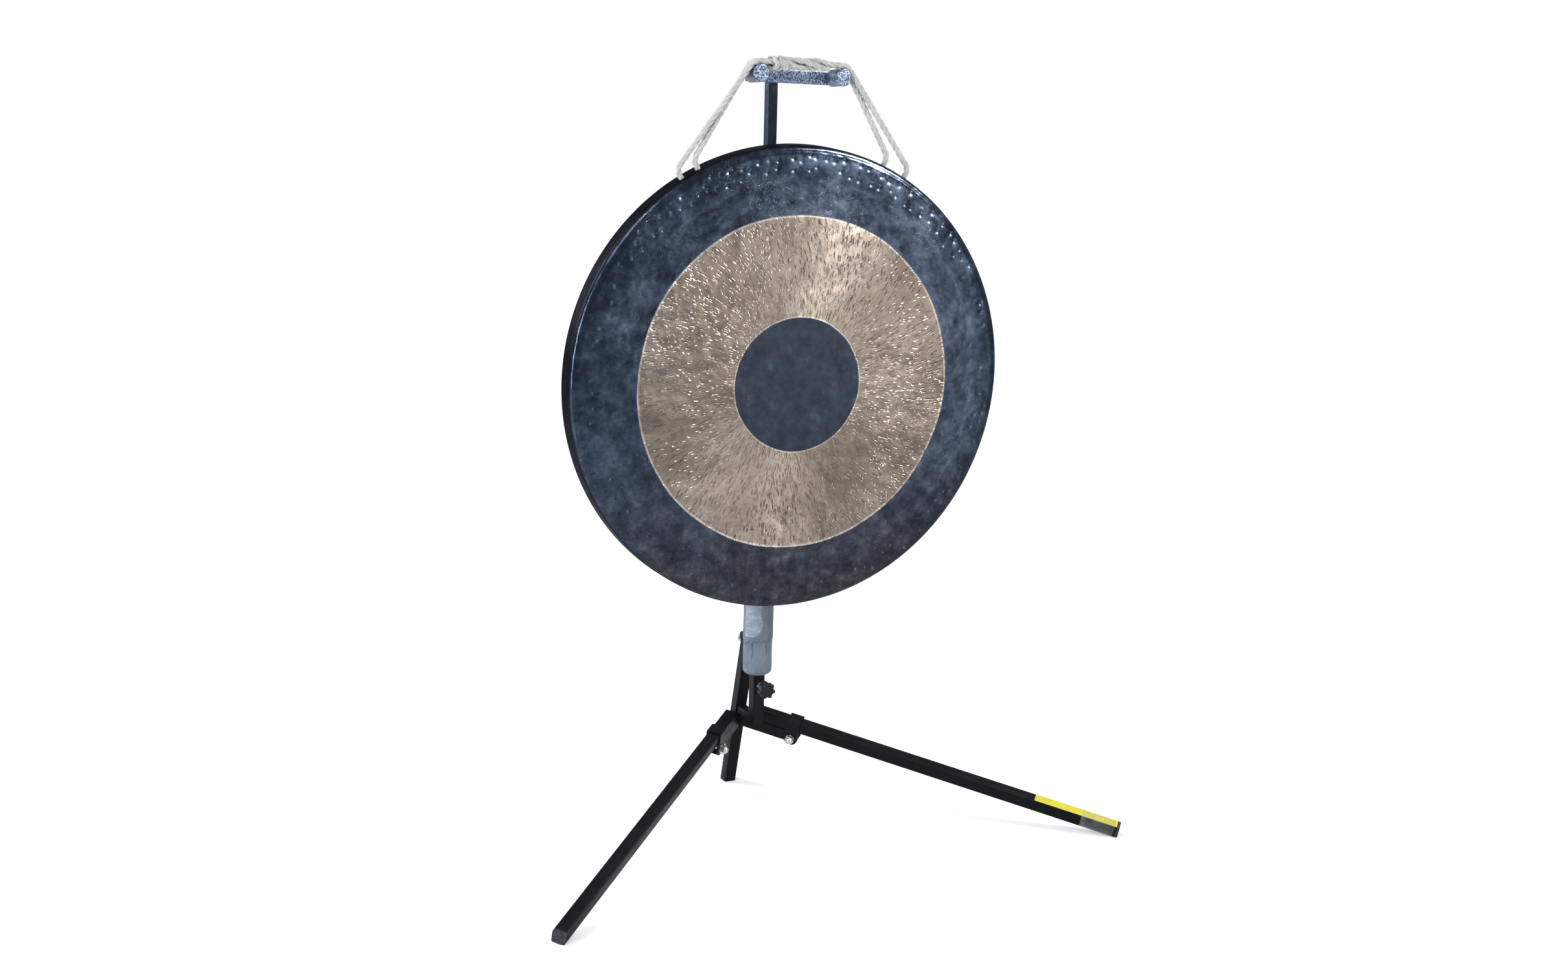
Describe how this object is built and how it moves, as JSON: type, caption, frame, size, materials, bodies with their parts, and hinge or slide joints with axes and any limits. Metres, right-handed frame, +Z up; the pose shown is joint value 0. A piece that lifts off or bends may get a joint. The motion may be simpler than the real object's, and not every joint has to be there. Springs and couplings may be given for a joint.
{
  "type": "tam tam gong on folding tripod stand",
  "caption": "Dark patinated tam tam gong with a lathed bronze ring, hung by twisted rope from a crossbar on a foam-covered mast over a folding square-tube tripod.",
  "frame": {"origin": "centre of the bounding box's footprint, on the floor", "axes": "+Z up along the mast, gong face towards -Y, X across the gong"},
  "size_m": [1.197, 0.6156, 1.5053],
  "materials": {
    "black_paint": "satin blue-black paint",
    "hammertone_paint": "blue-black hammertone paint",
    "zinc_steel": "bright zinc plate",
    "black_plastic": "black end plug",
    "knob_plastic": "black thermoset",
    "yellow_tape": "yellow vinyl tape",
    "clear_tape": "clear packing tape, scuffed",
    "grey_foam": "closed-cell grey foam",
    "foam_skin": "torn glossy skin on the foam",
    "cotton_rope": "twisted three-strand rope",
    "gong_bronze": "dark patina with a lathed bronze ring"
  },
  "bodies": {
    "base": {"rear_post": "black_paint", "rear_post_foot": "black_plastic", "left_arm": "black_paint", "right_arm": "black_paint", "left_pivot_bolt": "zinc_steel", "right_pivot_bolt": "zinc_steel", "left_pivot_nut": "zinc_steel", "right_pivot_nut": "zinc_steel", "pivot_washers": "zinc_steel", "mast_hinge_bolt": "zinc_steel", "mast_hinge_nut": "zinc_steel"},
    "left_leg": {"left_leg_tube": "black_paint", "left_leg_plug": "black_plastic", "left_leg_clevis": "black_paint"},
    "right_leg": {"right_leg_tube": "black_paint", "right_leg_plug": "black_plastic", "right_leg_clevis": "black_paint", "yellow_tape": "yellow_tape", "clear_tape": "clear_tape"},
    "socket": {"socket_tube": "black_paint", "socket_floor": "black_paint", "mast_hinge_bracket": "black_paint", "heel_block": "black_paint", "clamp_nut": "zinc_steel"},
    "knob": {"clamp_knob": "knob_plastic", "clamp_stud": "zinc_steel"},
    "mast": {"upper_tube": "hammertone_paint", "mast_top_cap": "black_plastic", "top_arm": "hammertone_paint", "crossbar": "hammertone_paint", "crossbar_caps": "black_plastic", "left_peg": "hammertone_paint", "right_peg": "hammertone_paint", "left_peg_disc": "hammertone_paint", "right_peg_disc": "hammertone_paint", "rear_strand": "cotton_rope", "front_strand": "cotton_rope", "rope_lashing": "cotton_rope", "foam_sleeve": "grey_foam", "foam_patch": "foam_skin"},
    "gong": {"gong_disc": "gong_bronze", "left_hanging_rope": "cotton_rope", "right_hanging_rope": "cotton_rope"}
  },
  "joints": [
    {"name": "right_leg_fold", "type": "hinge", "parent": "base", "child": "right_leg", "pos_m": [0.09064, 0.1729, 0.12758], "axis": [0.6947, 0.6875, 0.2115], "range_deg": [0, 90]},
    {"name": "left_leg_fold", "type": "hinge", "parent": "base", "child": "left_leg", "pos_m": [-0.09064, 0.1729, 0.12758], "axis": [0.6947, -0.6875, -0.2115], "range_deg": [0, 90]},
    {"name": "mast_fold", "type": "hinge", "parent": "base", "child": "socket", "pos_m": [0, 0.20626, 0.34273], "axis": [-1, 0, 0], "range_deg": [0, 100]},
    {"name": "mast_slide", "type": "slide", "parent": "socket", "child": "mast", "axis": [0, 0, 1], "range_m": [0, 0.06]},
    {"name": "knob_turn", "type": "hinge", "parent": "socket", "child": "knob", "pos_m": [0, 0.16432, 0.2527], "axis": [0, -1, 0], "continuous": true},
    {"name": "gong_swing", "type": "hinge", "parent": "mast", "child": "gong", "pos_m": [0, 0.04582, 1.4665], "axis": [-1, 0, 0], "range_deg": [-0.6, 30]}
  ]
}
